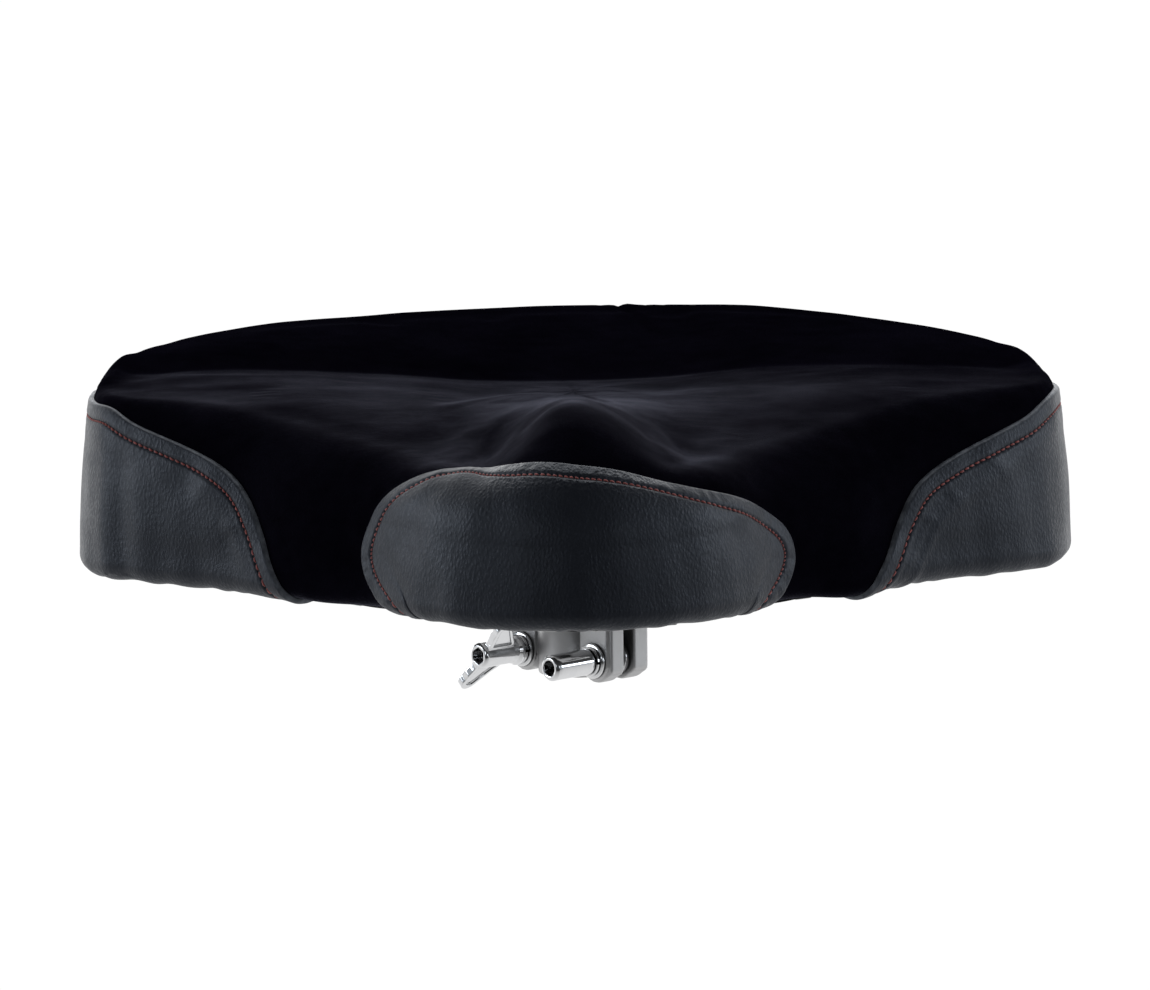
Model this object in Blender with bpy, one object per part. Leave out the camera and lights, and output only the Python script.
"""Saddle-shaped top of a drum throne with its under-seat post clamp.

Dimensions are millimetres; meshes are written in metres.  The nose of the seat
points to -Y and its back to +Y, +Z is up, and +X is on the right when the seat
is seen from the front.  The origin is the centre of the flat stop face at the
blind upper end of the post bore.
"""

import math

import bmesh
import bpy
import numpy as np

MM = 0.001

# ---------------------------------------------------------------- general
GAP = 0.3                      # clearance left between neighbouring pieces
Z_SEAT = 0.7                   # lowest edge of the upholstery above the stop face

# ---------------------------------------------------------------- upholstery
COVER_T = 1.5                  # velour thickness
LEATHER_T = 1.2                # leatherette thickness
PANEL_LIFT = 1.1               # the leatherette panels lie this far off the velour
SKIN_Z = 2.5                   # underside of the velour skin above the lowest edge
CORNER_R = 7.0                 # rounding of the lower outer edge
TUCK = 24.0                    # how far the covers are pulled under the board
BOARD_T = 12.0
BOARD_Z = 4.3                  # underside of the board above the lowest edge
BOARD_LOW = Z_SEAT + BOARD_Z
BOARD_TOP = BOARD_LOW + BOARD_T
CORE_DEPTH = COVER_T + GAP     # foam and board lie this far inside the skin
DUST_INSET = 16.0              # edge of the dust cover inside the plan
DUST_T = 0.8
POLE = (0.0, 30.0)             # centre of the sitting area

# (X, Y) of the right half of the plan at its widest level, nose to back centre
PLAN = [(0.0, -166.0), (35.0, -157.0), (61.0, -141.0), (80.0, -119.5),
        (93.0, -100.0), (110.0, -83.5), (134.0, -64.0), (161.0, -40.0),
        (188.0, -21.0), (214.0, -4.5), (234.5, 14.0), (244.5, 40.0),
        (242.5, 68.0), (234.0, 94.0), (220.0, 117.0), (199.0, 136.5),
        (169.0, 155.0), (129.0, 170.0), (65.0, 182.5), (0.0, 186.0)]

# (Y, height of the sitting surface above the lowest edge) on the centre line
CENTRE = [(-175, 62), (-145, 68), (-120, 70), (-90, 70.5), (-60, 74.5),
          (-30, 82), (0, 88), (30, 90.5), (60, 91.5), (90, 91.5)]
# (|X|, extra height) of the sitting area beside the centre line
LIFT = [(0, 0), (40, 0.3), (95, 3.8), (140, 5), (190, 3.8), (245, 0)]
LIFT_RISE_Y = (-45, 60)        # the lift grows in over this span
LIFT_FADE_Y = (95, 175)        # and loses LIFT_LOSS of itself over this one
LIFT_LOSS = 0.55
CREASE_Y = 80.0                # cross crease where the back starts to rise
CREASE_SOFT = 5.0
# (|X|, slope of the rising back)
SLOPE = [(0, 0.268), (65, 0.245), (130, 0.205), (170, 0.205), (200, 0.25),
         (220, 0.33), (250, 0.36)]
# pommel: a soft ridge that grows out of the sitting area towards the nose
POMMEL_H = 28.0
# (Y, share of the pommel height)
POMMEL_SHARE = [(-180, 0), (-165, 0.05), (-143, 0.32), (-120, 0.78), (-97, 1),
                (-78, 0.98), (-45, 0.6), (-20, 0.3), (0, 0.1), (28, 0)]
# (Y, half width of the pommel)
POMMEL_WIDTH = [(-180, 42), (-90, 42), (-45, 54), (0, 78), (40, 90)]

# (Y of the wall, rounding radius of the upper edge)
EDGE_R = [(-170, 27), (-120, 27), (-60, 26), (-20, 22), (8, 13), (30, 8), (190, 8)]
# (Y of the wall, how far the side wall flares out on its way down)
FLARE = [(-170, 3.5), (-110, 3.5), (-40, 4), (10, 6), (190, 6)]

# (|X|, height of a side panel's upper edge) along the thigh flank
LEFT_EDGE = [(141, 8.9), (147, 16), (154, 31), (163, 45.5), (175, 57),
             (196, 67), (220, 76), (241, 87)]
RIGHT_EDGE = [(143, 8.9), (149, 14.5), (156, 26), (165, 41), (181, 51.5),
              (204, 61), (225, 69.5), (241, 79)]
SIDE_EDGE_BACK = 1.72          # section of the side panels' edge round the back
SIDE_BLEND_Y = (4, 30)         # flank edge turns into the back edge over this span
# (X, height of the front panel's upper edge), left end to right end
NOSE_EDGE = [(-103, 24), (-101, 34), (-94, 57.5), (-82, 67), (-64, 72.5),
             (-44, 72.5), (-25, 75), (-2, 75.5), (30, 71), (58, 63.5),
             (78, 57), (93, 48), (101, 37), (105, 24)]

# ---------------------------------------------------------------- hardware
SCREW_X, SCREW_Y = 40.0, 34.0  # half spacing of the four board screws
SCREW_SPOTS = [(sign_x * SCREW_X, sign_y * SCREW_Y)
               for sign_x, sign_y in ((1, 1), (-1, 1), (-1, -1), (1, -1))]
COUNTERBORE = 1.9              # depth of the tee-nut recess in the board
LOCK_WASHER_DROP = 1.7         # underside of the lock washers below the plate

PLATE_LENGTH, PLATE_WIDTH, PLATE_R = 108.0, 92.0, 14.0
PLATE_LOW, PLATE_HIGH = -1.0, 4.7
BORE_R = 12.8                  # for a 25.4 mm post
BORE_BOTTOM = -60.0            # well below the casting
BULGE_R = 19.0                 # round bulge of each jaw about the post
BULGE_BOTTOM = -45.3
JAW_BOTTOM = -43.3
JAW_RIGHT = 37.0               # flat right end of the jaws
JAW_CORNER_R = 4.0
CAP_TOP = -8.3
CAP_RECESS = 1.4               # flange of the front jaw behind its boss faces
CAP_BOSS_R = 9.6
SLIT = 3.5                     # half width of the slit between the jaws
FLANGE = 13.0                  # outer face of the stud bosses from the post axis
RIB_X = 21.0
RIB_HALF_T = 2.5
STUD_X = 25.5
STUD_Z = -35.3
BOSS_R = 11.0
STUD_R = 4.0
STUD_HOLE_R = STUD_R + GAP
CAP_HOLE_R = 4.9
LOCK_HOLE_R = STUD_HOLE_R + 0.1    # bore of the jam nuts and spring washers
CLAMP_TURN = math.radians(-47.0)   # clamp flanges lie diagonally under the seat
FULCRUM_X = 17.5               # origin of the front jaw
STUD_OUT = (math.pi / 2, 0, 0)     # local +Z to the clamp's -Y, along the studs

JAM_NUT_R = 8.5
JAM_NUT_T = 3.0
WASHER_R = 8.65
WASHER_T = 1.6
SPRING_R = 7.2
SPRING_T = 1.8
NUT_R = 6.3
NUT_L = 25.0
# levels along the stud, from the outer face of the boss
SPRING_BASE = 2 * GAP + WASHER_T
NUT_BASE = SPRING_BASE + SPRING_T + GAP
NUT_END = NUT_BASE + NUT_L
SOCKET_R = 3.65
SOCKET_DEPTH = 4.5
BLADE_HALF_T = 1.9
BLADE_TURNS = (227, 47)        # degrees round the stud


# ---------------------------------------------------------------- scene reset
for old in list(bpy.data.objects):
    bpy.data.objects.remove(old, do_unlink=True)


# ---------------------------------------------------------------- materials
def material(name, colour, roughness, metallic=0.0):
    mat = bpy.data.materials.new(name)
    mat.use_nodes = True
    shader = mat.node_tree.nodes["Principled BSDF"]
    shader.inputs["Base Color"].default_value = (*colour, 1.0)
    shader.inputs["Roughness"].default_value = roughness
    shader.inputs["Metallic"].default_value = metallic
    mat.diffuse_color = (*colour, 1.0)
    return mat


VELOUR = material("black_velour", colour=(0.010, 0.010, 0.014), roughness=0.95)
LEATHERETTE = material("charcoal_leatherette", colour=(0.022, 0.026, 0.032), roughness=0.42)
FOAM = material("grey_foam", colour=(0.32, 0.31, 0.28), roughness=0.95)
PLYWOOD = material("birch_plywood", colour=(0.52, 0.36, 0.19), roughness=0.7)
DUST = material("black_dust_cloth", colour=(0.015, 0.015, 0.016), roughness=0.9)
CAST = material("satin_casting", colour=(0.50, 0.50, 0.51), roughness=0.42, metallic=1.0)
CHROME = material("chrome_plate", colour=(0.86, 0.87, 0.88), roughness=0.07, metallic=1.0)
ZINC = material("zinc_plate", colour=(0.62, 0.63, 0.64), roughness=0.3, metallic=1.0)
STEEL = material("bright_steel", colour=(0.55, 0.55, 0.56), roughness=0.28, metallic=1.0)


# ---------------------------------------------------------------- objects
def place(name, data, parent, loc, rot):
    """Link an object to the scene, with its location in mm."""
    obj = bpy.data.objects.new(name, data)
    bpy.context.scene.collection.objects.link(obj)
    obj.location = [c * MM for c in loc]
    obj.rotation_euler = rot
    obj.parent = parent
    return obj


def add(name, shape, mat, parent=None, loc=(0, 0, 0), rot=(0, 0, 0), sharp=35.0):
    """A mesh object from a shape, which is a pair of points in mm and faces."""
    verts, faces = shape
    mesh = bpy.data.meshes.new(name)
    mesh.from_pydata([tuple(c * MM for c in v) for v in verts], [], faces)
    mesh.update()
    bm = bmesh.new()
    bm.from_mesh(mesh)
    bmesh.ops.recalc_face_normals(bm, faces=bm.faces)
    bm.to_mesh(mesh)
    bm.free()
    if mat is not None:
        mesh.materials.append(mat)
    mesh.shade_smooth()
    if sharp is not None:
        mesh.set_sharp_from_angle(angle=math.radians(sharp))
    return place(name, mesh, parent, loc, rot)


def combine(target, operation, name, shape, parent=None, loc=(0, 0, 0), rot=(0, 0, 0)):
    """Join a hidden helper solid to the target, or cut it away, by a modifier."""
    helper = add(name, shape, None, parent, loc, rot, sharp=None)
    helper.hide_render = True
    helper.display_type = "WIRE"
    mod = target.modifiers.new(name, "BOOLEAN")
    mod.operation = operation
    mod.solver = "EXACT"
    mod.object = helper


def fuse(target, *args):
    combine(target, "UNION", *args)


def cut(target, *args):
    combine(target, "DIFFERENCE", *args)


# ---------------------------------------------------------------- simple shapes
def prism(points, low, high, axis="z"):
    """Closed straight extrusion of a plane polygon."""
    n = len(points)
    lift = {"z": lambda p, h: (p[0], p[1], h),
            "y": lambda p, h: (p[0], h, p[1]),
            "x": lambda p, h: (h, p[0], p[1])}[axis]
    verts = [lift(p, low) for p in points] + [lift(p, high) for p in points]
    faces = [list(range(n))[::-1], list(range(n, 2 * n))]
    faces += [[i, (i + 1) % n, n + (i + 1) % n, n + i] for i in range(n)]
    return verts, faces


def lathe(profile, segments):
    """Closed solid of revolution about Z; the profile is a closed (r, z) loop,
    or an open one whose ends lie on the axis."""
    verts, rows = [], []
    for r, z in profile:
        if r < 1e-6:
            rows.append([len(verts)] * segments)
            verts.append((0.0, 0.0, z))
        else:
            rows.append(list(range(len(verts), len(verts) + segments)))
            angles = [2 * math.pi * k / segments for k in range(segments)]
            verts += [(r * math.cos(t), r * math.sin(t), z) for t in angles]
    pairs = list(zip(rows, rows[1:]))
    if profile[0][0] > 1e-6:
        pairs.append((rows[-1], rows[0]))
    faces = []
    for lower, upper in pairs:
        for k in range(segments):
            j = (k + 1) % segments
            quad = [lower[k], lower[j], upper[j], upper[k]]
            face = [v for i, v in enumerate(quad) if v not in quad[:i]]
            if len(face) > 2:
                faces.append(face)
    return verts, faces


def cylinder(radius, low, high, segments):
    return lathe([(0, low), (radius, low), (radius, high), (0, high)], segments)


def tube(inner, outer, low, high, segments):
    return lathe([(inner, low), (outer, low), (outer, high), (inner, high)], segments)


def arc(cx, cy, radius, start, end, steps):
    """Points on a circle from start to end degrees."""
    angles = [math.radians(start + (end - start) * i / steps) for i in range(steps + 1)]
    return [(cx + radius * math.cos(t), cy + radius * math.sin(t)) for t in angles]


def rounded_rect(length, width, radius, steps):
    x, y = length / 2 - radius, width / 2 - radius
    return (arc(x, y, radius, 0, 90, steps) + arc(-x, y, radius, 90, 180, steps)
            + arc(-x, -y, radius, 180, 270, steps) + arc(x, -y, radius, 270, 360, steps))


# ---------------------------------------------------------------- smooth curves
def curve(table, x):
    """Monotone cubic through the (x, y) design points, flat outside them."""
    xs, ys = np.array(table, float).T
    width = np.diff(xs)
    slope = np.diff(ys) / width
    before, after = slope[:-1], slope[1:]
    total = before + after
    tangent = np.zeros_like(ys)
    tangent[1:-1] = np.where(before * after > 0,
                             2 * before * after / np.where(total == 0, 1, total), 0.0)
    x = np.clip(np.asarray(x, float), xs[0], xs[-1])
    i = np.clip(np.searchsorted(xs, x) - 1, 0, len(xs) - 2)
    t = (x - xs[i]) / width[i]
    return ((2 * t**3 - 3 * t**2 + 1) * ys[i]
            + (t**3 - 2 * t**2 + t) * width[i] * tangent[i]
            + (-2 * t**3 + 3 * t**2) * ys[i + 1]
            + (t**3 - t**2) * width[i] * tangent[i + 1])


def smoothstep(low, high, value):
    t = np.clip((value - low) / (high - low), 0, 1)
    return t * t * (3 - 2 * t)


# ---------------------------------------------------------------- plan
def blend(low, high, first, second, t):
    """Linear mix: first at t = low, second at t = high."""
    return (high - t) / (high - low) * first + (t - low) / (high - low) * second


def plan_span(p0, p1, p2, p3, steps=40):
    """Centripetal Catmull-Rom points from p1 up to, but without, p2."""
    t0 = 0.0
    t1 = t0 + np.linalg.norm(p1 - p0) ** 0.5
    t2 = t1 + np.linalg.norm(p2 - p1) ** 0.5
    t3 = t2 + np.linalg.norm(p3 - p2) ** 0.5
    points = []
    for part in np.linspace(0, 1, steps, endpoint=False):
        t = t1 + (t2 - t1) * part
        a1 = blend(t0, t1, p0, p1, t)
        a2 = blend(t1, t2, p1, p2, t)
        a3 = blend(t2, t3, p2, p3, t)
        b1 = blend(t0, t2, a1, a2, t)
        b2 = blend(t1, t3, a2, a3, t)
        points.append(blend(t1, t2, b1, b2, t))
    return points


def plan_curve(count=1440, fairing_passes=60):
    """Closed plan curve, resampled evenly; starts at the nose centre and runs
    to the right, round the back, and home along the left side."""
    half = np.array(PLAN)
    knots = np.vstack([half, (half[1:-1] * [-1, 1])[::-1]])
    dense = []
    for i in range(len(knots)):
        dense += plan_span(*(knots[(i + k - 1) % len(knots)] for k in range(4)))
    dense = np.array(dense)
    steps = np.linalg.norm(np.roll(dense, -1, 0) - dense, axis=1)
    length = np.concatenate([[0], np.cumsum(steps)])
    loop = np.vstack([dense, dense[:1]])
    grid = np.linspace(0, length[-1], count, endpoint=False)
    even = np.stack([np.interp(grid, length, loop[:, k]) for k in (0, 1)], axis=1)
    for _ in range(fairing_passes):          # fair the joins between design points
        even = 0.5 * even + 0.25 * (np.roll(even, 1, 0) + np.roll(even, -1, 0))
    return even


def plan_normals(points):
    tangent = np.roll(points, -2, 0) - np.roll(points, 2, 0)
    tangent /= np.linalg.norm(tangent, axis=1)[:, None]
    return np.stack([tangent[:, 1], -tangent[:, 0]], axis=1)


PLAN_PTS = plan_curve()
PLAN_NORMALS = plan_normals(PLAN_PTS)


def plan_at(station):
    """Plan point and outward normal; a station is in turns (0 nose, 0.25 on the
    right, 0.5 back)."""
    count = len(PLAN_PTS)
    place_on = (np.asarray(station, float) % 1.0) * count
    i = np.floor(place_on).astype(int) % count
    t = (place_on - np.floor(place_on))[..., None]
    j = (i + 1) % count
    return (PLAN_PTS[i] * (1 - t) + PLAN_PTS[j] * t,
            PLAN_NORMALS[i] * (1 - t) + PLAN_NORMALS[j] * t)


def station_at_x(x):
    """Station on the front half of the plan where the wall reaches X = x."""
    turns = np.arange(len(PLAN_PTS)) / len(PLAN_PTS)
    same_side = PLAN_PTS[:, 0] >= 0 if x >= 0 else PLAN_PTS[:, 0] <= 0
    chosen = (PLAN_PTS[:, 1] < 45) & same_side
    xs = PLAN_PTS[chosen, 0]
    stations = np.where(turns[chosen] > 0.5, turns[chosen] - 1, turns[chosen])
    order = np.argsort(xs)
    return float(np.interp(x, xs[order], stations[order]))


# ---------------------------------------------------------------- seat surface
def height(xy):
    """Height of the sitting surface above the lowest edge."""
    side, y = np.abs(xy[..., 0]), xy[..., 1]
    fade = 1 - LIFT_LOSS * smoothstep(*LIFT_FADE_Y, y)
    lift = curve(LIFT, side) * smoothstep(*LIFT_RISE_Y, y) * fade
    ramp = CREASE_SOFT * np.logaddexp(0, (y - CREASE_Y) / CREASE_SOFT)
    across = np.clip(side / curve(POMMEL_WIDTH, y), 0, 1)
    pommel = POMMEL_H * curve(POMMEL_SHARE, y) * 0.5 * (1 + np.cos(np.pi * across))
    return curve(CENTRE, y) + lift + curve(SLOPE, side) * ramp + pommel


def skin(station, section):
    """Velour skin.  The section runs 0..1 over the top, 1..2 round the upper
    edge, 2..3 down the wall, 3..4 round the lower edge, 4..5 under the board."""
    station, section = np.broadcast_arrays(station, section)
    wall, normal = plan_at(station)
    radius = curve(EDGE_R, wall[..., 1])
    flare = curve(FLARE, wall[..., 1])
    rim = wall - normal * flare[..., None]
    inner = rim - normal * radius[..., None]

    top = np.array(POLE) + (inner - POLE) * np.clip(section, 0, 1)[..., None]

    angle = np.clip(section - 1, 0, 1) * np.pi / 2
    edge = rim - normal * (radius * (1 - np.sin(angle)))[..., None]
    edge_z = height(edge) - radius * (1 - np.cos(angle))

    part = np.clip(section - 2, 0, 1)
    wall_top, wall_low = height(rim) - radius, SKIN_Z + CORNER_R
    side = rim + normal * (flare * part)[..., None]
    side_z = wall_top + (wall_low - wall_top) * part

    angle = np.clip(section - 3, 0, 1) * np.pi / 2
    corner = wall - normal * (CORNER_R * (1 - np.cos(angle)))[..., None]
    corner_z = wall_low - CORNER_R * np.sin(angle)

    part = np.clip(section - 4, 0, 1)
    tuck = wall - normal * (CORNER_R + (TUCK - CORNER_R) * part)[..., None]
    tuck_z = np.full_like(corner_z, SKIN_Z)

    zones = [np.concatenate([xy, z[..., None]], axis=-1)
             for xy, z in ((top, height(top)), (edge, edge_z), (side, side_z),
                           (corner, corner_z), (tuck, tuck_z))]
    chosen = [(section <= end)[..., None] for end in (1, 2, 3, 4)]
    return np.select(chosen, zones[:4], zones[4]) + np.array([0.0, 0.0, Z_SEAT])


def skin_offset(station, section, distance):
    """Skin moved outwards along its normal."""
    station, section = np.broadcast_arrays(station, section)
    turn_step, section_step = 0.001, 0.03
    along = skin(station + turn_step, section) - skin(station - turn_step, section)
    down = (skin(station, np.minimum(section + section_step, 5))
            - skin(station, section - section_step))
    normal = np.cross(down, along)
    normal /= np.linalg.norm(normal, axis=-1)[..., None]
    return skin(station, section) + normal * distance


def section_at_height(stations, heights):
    """Sections at which the skin has the given heights above the lowest edge."""
    grid = np.linspace(1.0, 4.0, 241)
    return np.array([np.interp(-z, Z_SEAT - skin(station, grid)[:, 2], grid)
                     for station, z in np.broadcast(stations, heights)])


def skin_pole(distance):
    """Centre point of the sitting area, moved up."""
    return (*POLE, float(height(np.array(POLE))) + Z_SEAT + distance)


# ---------------------------------------------------------------- stations
RIGHT_END, LEFT_END = station_at_x(RIGHT_EDGE[0][0]), station_at_x(-LEFT_EDGE[0][0])
NOSE_LEFT, NOSE_RIGHT = station_at_x(NOSE_EDGE[0][0]), station_at_x(NOSE_EDGE[-1][0])
NOSE_EXTRA_X = (-98.5, -93.0, -85.0, 88.0, 99.0)   # where the nose edge bends most
SEAM = 0.0009                  # half gap of the centre-back seam, in turns
EVEN_CLEAR = 0.0055            # even stations keep this far from the fixed ones
SEAM_CLEAR = 0.02              # and this far from the seam
SLACK = 1e-9                   # keeps the end stations in their panels


def all_stations():
    """Stations round the plan: dense in front, coarse behind, with the panel
    ends and both sides of the back seam."""
    fixed = [RIGHT_END, LEFT_END, NOSE_LEFT, NOSE_RIGHT]
    fixed += [station_at_x(x) for x in NOSE_EXTRA_X]
    even = np.concatenate([np.linspace(-0.27, 0.27, 43), np.linspace(0.27, 0.73, 16)[1:-1]])
    even = [u for u in even
            if min(abs(u - f) for f in fixed) > EVEN_CLEAR and abs(u - 0.5) > SEAM_CLEAR]
    return np.array(sorted(even + fixed + [0.5 - SEAM, 0.5 + SEAM]))


STATIONS = all_stations()
SECTIONS = [0.28, 0.52, 0.72, 0.88, 1.0, 1.25, 1.5, 1.75, 2.0, 3.0, 3.5, 4.0, 5.0]


# ---------------------------------------------------------------- surface meshes
def ring_faces(rings, pole=None):
    """Faces between closed rings of equal length, with an optional pole fan."""
    n = len(rings[0])
    faces = []
    for upper, lower in zip(rings, rings[1:]):
        for j in range(n):
            k = (j + 1) % n
            faces += [[upper[j], lower[j], lower[k]], [upper[j], lower[k], upper[k]]]
    if pole is not None:
        faces += [[pole, rings[0][j], rings[0][(j + 1) % n]] for j in range(n)]
    return faces


def add_rings(rows, verts):
    """Append rows of points to verts; returns their indices row by row."""
    rings = []
    for row in rows:
        rings.append(list(range(len(verts), len(verts) + len(row))))
        verts.extend(tuple(p) for p in row)
    return rings


def weld(verts, faces):
    """Join points that coincide and drop the faces that vanish with them."""
    seen, remap, keep = {}, [], []
    for v in verts:
        key = tuple(round(c, 4) for c in v)
        if key not in seen:
            seen[key] = len(keep)
            keep.append(v)
        remap.append(seen[key])
    out = []
    for face in faces:
        joined = [remap[i] for i in face]
        joined = [v for i, v in enumerate(joined) if v != joined[i - 1]]
        if len(joined) > 2 and len(set(joined)) == len(joined):
            out.append(joined)
    return keep, out


def sheet(outer, inner):
    """Closed sheet between two equal grids of points [row, column]."""
    rows, cols = outer.shape[:2]
    verts = [tuple(p) for grid in (outer, inner) for p in grid.reshape(-1, 3)]
    off = rows * cols              # from an outer point to its inner partner
    faces = []
    for i in range(rows - 1):
        for j in range(cols - 1):
            a = i * cols + j
            b, c, d = a + cols, a + cols + 1, a + 1
            faces += [[a, c, b], [a, d, c],
                      [off + a, off + b, off + c], [off + a, off + c, off + d]]
    last = off - cols              # first point of the last row
    border = (list(range(cols)) + [i * cols + cols - 1 for i in range(1, rows)]
              + [last + j for j in range(cols - 2, -1, -1)]
              + [i * cols for i in range(rows - 2, 0, -1)])
    for k, v in enumerate(border):
        w = border[(k + 1) % len(border)]
        faces.append([w, v, off + v, off + w])
    return weld(verts, faces)


# ---------------------------------------------------------------- foam and board
def level_ring(level):
    """Ring inside the covers, flat at a level above the lowest edge."""
    ring = skin_offset(STATIONS, section_at_height(STATIONS, level), -CORE_DEPTH)
    ring[:, 2] = Z_SEAT + level
    return ring


def build_foam():
    rows = [skin_offset(STATIONS, s, -CORE_DEPTH) for s in SECTIONS if s <= 2.0]
    rows.append(level_ring(BOARD_Z + BOARD_T + GAP))
    verts = []
    rings = add_rings(rows, verts)
    verts.append(skin_pole(-CORE_DEPTH))
    add("foam_cushion", (verts, ring_faces(rings, len(verts) - 1) + [rings[-1]]), FOAM, sharp=50)


def build_board():
    """Seat board with four stepped holes and the tee nuts in them."""
    rows = [level_ring(BOARD_Z + BOARD_T)]
    rows += [skin_offset(STATIONS, s, -CORE_DEPTH) for s in (3.0, 3.5, 4.0)]
    rows[-1][:, 2] = BOARD_LOW
    verts = []
    rings = add_rings(rows, verts)
    faces = ring_faces(rings) + [rings[0][::-1], rings[-1]]
    board = add("seat_board", (verts, faces), PLYWOOD, sharp=40)

    step, past = BOARD_TOP - COUNTERBORE, 5
    hole = lathe([(0, BOARD_LOW - past), (4.5, BOARD_LOW - past), (4.5, step),
                  (9.8, step), (9.8, BOARD_TOP + past), (0, BOARD_TOP + past)], 12)
    tee = lathe([(3.15, BOARD_LOW + 2), (4.2, BOARD_LOW + 2), (4.2, BOARD_TOP - 1.6),
                 (9.5, BOARD_TOP - 1.6), (9.5, BOARD_TOP - 0.2), (3.15, BOARD_TOP - 0.2)], 12)
    for i, (x, y) in enumerate(SCREW_SPOTS, 1):
        cut(board, f"tee_hole_{i}", hole, None, (x, y, 0))
        add(f"tee_nut_{i}", tee, ZINC, None, (x, y, 0))


# ---------------------------------------------------------------- covers
def build_velour():
    verts = []
    outer = add_rings([skin_offset(STATIONS, s, 0.0) for s in SECTIONS], verts)
    inner = add_rings([skin_offset(STATIONS, s, -COVER_T) for s in SECTIONS], verts)
    pole = len(verts)
    verts += [skin_pole(0.0), skin_pole(-COVER_T)]
    faces = ring_faces(outer, pole) + [f[::-1] for f in ring_faces(inner, pole + 1)]
    for j in range(len(STATIONS)):
        k = (j + 1) % len(STATIONS)
        faces.append([outer[-1][j], inner[-1][j], inner[-1][k], outer[-1][k]])
    add("velour_top_cover", (verts, faces), VELOUR, sharp=60)


def side_edge(table, stations):
    """Sections of a side panel's upper edge."""
    wall, _ = plan_at(stations)
    flank = section_at_height(stations, curve(table, np.abs(wall[:, 0])))
    return flank + (SIDE_EDGE_BACK - flank) * smoothstep(*SIDE_BLEND_Y, wall[:, 1])


def nose_edge(stations):
    """Sections of the front panel's upper edge."""
    wall, _ = plan_at(stations)
    return section_at_height(stations, curve(NOSE_EDGE, wall[:, 0]))


def panel(name, stations, upper_edge):
    """Sheet over the skin from its upper edge, down and under the board."""
    rows = [np.maximum(s, upper_edge) for s in SECTIONS]
    outer = np.array([skin_offset(stations, row, PANEL_LIFT + LEATHER_T) for row in rows])
    inner = np.array([skin_offset(stations, row, PANEL_LIFT) for row in rows])
    add(name, sheet(outer, inner), LEATHERETTE, sharp=60)


def build_panels():
    right = STATIONS[(STATIONS >= RIGHT_END - SLACK) & (STATIONS <= 0.5)]
    left = np.concatenate([STATIONS[STATIONS > 0.5] - 1.0,
                           STATIONS[STATIONS <= LEFT_END + SLACK]])
    nose = STATIONS[(STATIONS >= NOSE_LEFT - SLACK) & (STATIONS <= NOSE_RIGHT + SLACK)]
    panel("right_side_panel", right, side_edge(RIGHT_EDGE, right))
    panel("left_side_panel", left, side_edge(LEFT_EDGE, left))
    panel("front_nose_panel", nose, nose_edge(nose))


def build_dust_cover():
    """Thin flat sheet under the seat with a window for the mounting plate."""
    wall, normal = plan_at(STATIONS)
    outline = [tuple(p) for p in wall - normal * DUST_INSET]
    dust = add("dust_cover", prism(outline, Z_SEAT - DUST_T, Z_SEAT), DUST, sharp=30)
    window = rounded_rect(PLATE_LENGTH + 2, PLATE_WIDTH + 2, PLATE_R + 1, 5)
    cut(dust, "dust_window", prism(window, -6, 6))


# ---------------------------------------------------------------- clamp casting
# In the clamp frame the studs run along Y; the rear jaw is on +Y, the front on -Y.
def turned(points):
    """Seat-aligned plane points written in the diagonal clamp frame."""
    cos, sin = math.cos(-CLAMP_TURN), math.sin(-CLAMP_TURN)
    return [(x * cos - y * sin, x * sin + y * cos) for x, y in points]


def half_round(side):
    """Bulge outline beyond the slit face on the +Y (1) or -Y (-1) side."""
    start = math.degrees(math.asin(SLIT / BULGE_R))
    points = arc(0, 0, BULGE_R, start, 180 - start, 12)
    return points if side > 0 else [(x, -y) for x, y in points][::-1]


def jaw_outline(top):
    """(X, Z) outline of a jaw flange: flat right end, round left end."""
    left = -STUD_X - BOSS_R
    return ([(JAW_RIGHT, top), (left, top), (left, STUD_Z)]
            + arc(-STUD_X, STUD_Z, BOSS_R, 180, 307, 7)[1:]
            + arc(STUD_X, STUD_Z, BOSS_R, 233, 307, 6)
            + arc(JAW_RIGHT - JAW_CORNER_R, JAW_BOTTOM + 4.4, JAW_CORNER_R, 290, 360, 3))


def build_body(frame):
    """Mounting plate and rear jaw in one casting."""
    plate = turned(rounded_rect(PLATE_LENGTH, PLATE_WIDTH, PLATE_R, 4))
    body = add("clamp_body", prism(plate, PLATE_LOW, PLATE_HIGH), CAST, frame, sharp=38)
    fuse(body, "rear_bulge", prism(half_round(1), BULGE_BOTTOM, PLATE_LOW + 1), frame)
    fuse(body, "rear_flange", prism(jaw_outline(PLATE_LOW + 0.8), SLIT, FLANGE, "y"), frame)
    # a hair slimmer than the bulge, so that their walls do not coincide
    fuse(body, "post_neck", cylinder(BULGE_R - 0.01, -7, PLATE_LOW + 1.2, 28), frame)
    root = PLATE_LOW + 0.6
    rib = [(FLANGE - 1, root), (FLANGE - 1, -31.0), (FLANGE + 2, -31.0), (36.0, -4.0),
           (36.0, root)]
    for i, x in enumerate((-RIB_X, RIB_X), 1):
        fuse(body, f"rib_{i}", prism(rib, x - RIB_HALF_T, x + RIB_HALF_T, "x"), frame)
    cut(body, "post_bore", cylinder(BORE_R, BORE_BOTTOM, 0.0, 32), frame)
    for i, x in enumerate((-STUD_X, STUD_X), 1):
        cut(body, f"stud_hole_{i}", cylinder(STUD_HOLE_R, -30, 30, 16),
            frame, (x, 8.0, STUD_Z), STUD_OUT)
    for i, (x, y) in enumerate(turned(SCREW_SPOTS), 1):
        cut(body, f"plate_hole_{i}", cylinder(3.3, -10, 10, 12), frame, (x, y, 0))


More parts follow.
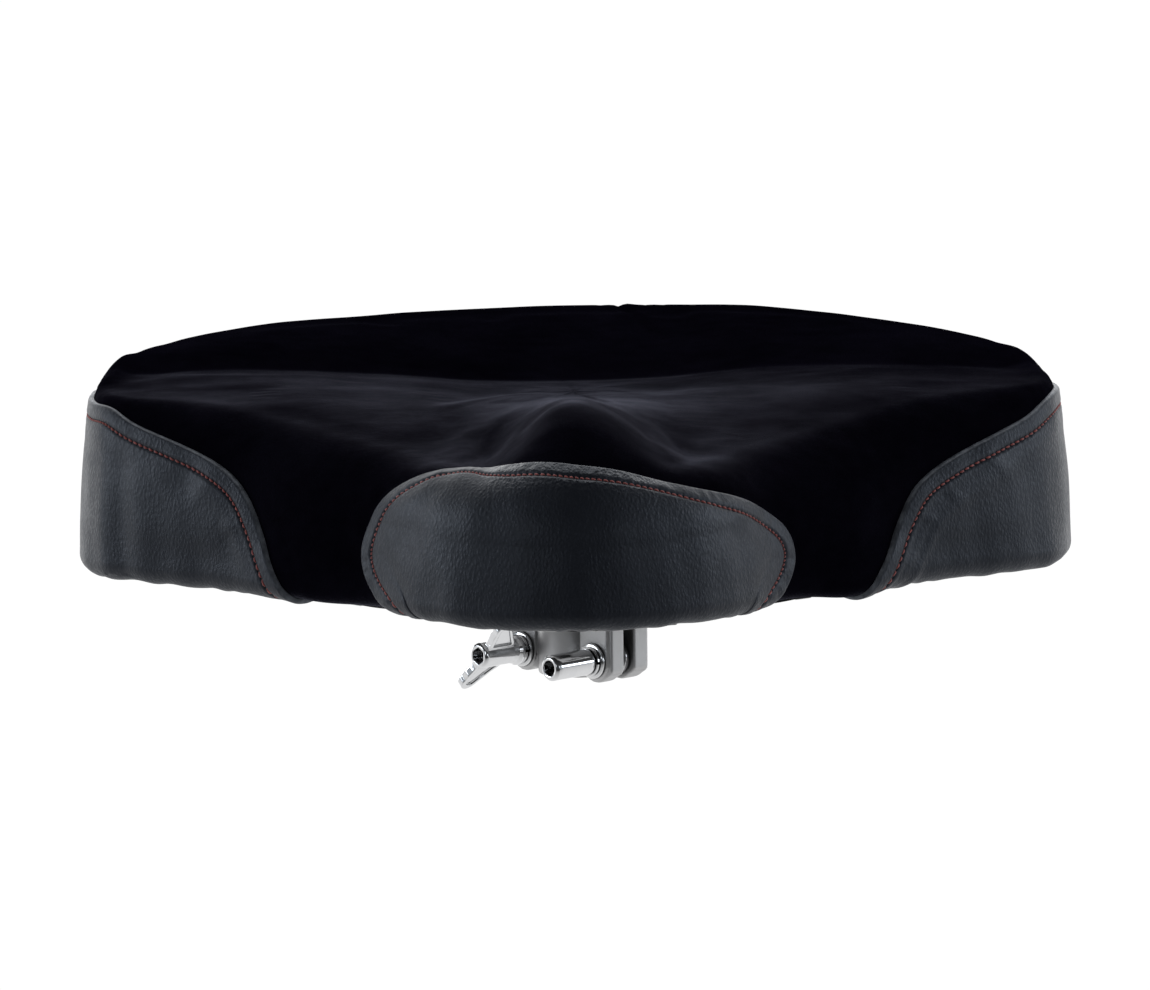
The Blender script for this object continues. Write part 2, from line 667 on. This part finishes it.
def build_cap(frame):
    """Front jaw, with its origin at the fulcrum on its outer face."""
    hinge = place("cap_fulcrum", None, frame, (FULCRUM_X, -FLANGE, 0), (0, 0, 0))
    shift = (-FULCRUM_X, FLANGE, 0)        # back to the clamp frame's origin
    flange = prism(jaw_outline(CAP_TOP), -FLANGE + CAP_RECESS, -SLIT, "y")
    cap = add("clamp_cap", flange, CAST, hinge, shift, sharp=38)
    fuse(cap, "front_bulge", prism(half_round(-1), BULGE_BOTTOM, CAP_TOP), hinge, shift)
    for i, x in enumerate((-STUD_X, STUD_X), 1):
        outline = (arc(x, STUD_Z, CAP_BOSS_R, 180, 360, 9)
                   + arc(x, CAP_TOP - CAP_BOSS_R - 1.5, CAP_BOSS_R, 0, 180, 6))
        fuse(cap, f"boss_{i}", prism(outline, -FLANGE, -SLIT - 2, "y"), hinge, shift)
    cut(cap, "cap_bore", cylinder(BORE_R, BORE_BOTTOM, 0, 32), hinge, shift)
    for i, x in enumerate((-STUD_X, STUD_X), 1):
        cut(cap, f"cap_hole_{i}", cylinder(CAP_HOLE_R, -30, 30, 16), hinge,
            (x + shift[0], -8.0 + shift[1], STUD_Z), STUD_OUT)


# ---------------------------------------------------------------- fasteners
def build_plate_screws():
    """Four screws with lock washers, up through the plate into the tee nuts."""
    washer_low = PLATE_LOW - LOCK_WASHER_DROP
    washer = tube(3.2, 5.2, washer_low, PLATE_LOW - GAP, 14)
    head, tip = washer_low - GAP, BOARD_TOP - COUNTERBORE
    screw = lathe([(0, head - 1.4), (2.3, head - 1.4), (2.3, head - 3.6), (4.2, head - 3.6),
                   (5.3, head - 2.4), (5.3, head), (2.85, head), (2.85, tip), (0, tip)], 12)
    for i, (x, y) in enumerate(SCREW_SPOTS, 1):
        add(f"plate_lock_washer_{i}", washer, ZINC, None, (x, y, 0))
        add(f"plate_screw_{i}", screw, ZINC, None, (x, y, 0))


def spring_washer(sections=18):
    """Split ring with its two ends slightly apart."""
    low, high = SPRING_BASE, SPRING_BASE + SPRING_T
    verts, faces = [], []
    for k in range(sections):
        t = math.radians(5 + 350 * k / (sections - 1))
        for r, z in ((LOCK_HOLE_R, low), (SPRING_R, low), (SPRING_R, high), (LOCK_HOLE_R, high)):
            verts.append((r * math.cos(t), r * math.sin(t), z))
    for k in range(0, 4 * (sections - 1), 4):
        for i in range(4):
            j = (i + 1) % 4
            faces.append([k + i, k + j, k + 4 + j, k + 4 + i])
    end = 4 * sections
    faces += [[0, 1, 2, 3], [end - 1, end - 2, end - 3, end - 4]]
    return verts, faces


def build_nut(tag, axis, blade_turns):
    """Long round nut with a hexagonal end socket, and wing blades if any."""
    profile = [(0, NUT_BASE + 19), (STUD_HOLE_R, NUT_BASE + 18), (STUD_HOLE_R, NUT_BASE),
               (NUT_R - 0.6, NUT_BASE), (NUT_R, NUT_BASE + 0.6), (NUT_R, NUT_END - 1.3),
               (NUT_R - 1.3, NUT_END), (0, NUT_END)]
    nut = add(f"{tag}_nut", lathe(profile, 20), CHROME, axis)
    # blade in the plane of the axis, swept outwards, rounded at its tip
    blade = ([(5.0, NUT_BASE + 5.5), (9.0, NUT_BASE + 7.5)]
             + arc(19.2, NUT_BASE + 20.3, 4.6, -50, 120, 6)
             + [(12.5, NUT_BASE + 24.0), (8.0, NUT_BASE + 22.5), (5.0, NUT_BASE + 22.5)])
    for k, turn in enumerate(blade_turns, 1):
        fuse(nut, f"wing_blade_{k}", prism(blade, -BLADE_HALF_T, BLADE_HALF_T, "y"),
             axis, (0, 0, 0), (0, 0, math.radians(turn)))
    cut(nut, f"{tag}_socket", cylinder(SOCKET_R, NUT_END - SOCKET_DEPTH, NUT_END + 2, 6), axis)


def build_stud_set(tag, x, blade_turns, frame):
    """Stud from the rear jaw, its jam nut in the slit, washers and outer nut."""
    axis = place(f"{tag}_axis", None, frame, (x, -FLANGE, STUD_Z), STUD_OUT)
    add(f"{tag}_stud", cylinder(STUD_R, -27.5, 21.0, 16), STEEL, axis)
    low = -FLANGE - SLIT + GAP
    add(f"{tag}_stud_jam_nut", tube(LOCK_HOLE_R, JAM_NUT_R, low, low + JAM_NUT_T, 20),
        CHROME, axis)
    add(f"{tag}_flat_washer", tube(STUD_HOLE_R, WASHER_R, GAP, GAP + WASHER_T, 20),
        CHROME, axis)
    add(f"{tag}_spring_washer", spring_washer(), CHROME, axis)
    build_nut(tag, axis, blade_turns)


# ---------------------------------------------------------------- assembly
build_foam()
build_board()
build_velour()
build_panels()
build_dust_cover()
clamp_frame = place("clamp_frame", None, None, (0, 0, 0), (0, 0, CLAMP_TURN))
build_body(clamp_frame)
build_cap(clamp_frame)
build_plate_screws()
build_stud_set("wing", -STUD_X, BLADE_TURNS, clamp_frame)
build_stud_set("barrel", STUD_X, (), clamp_frame)
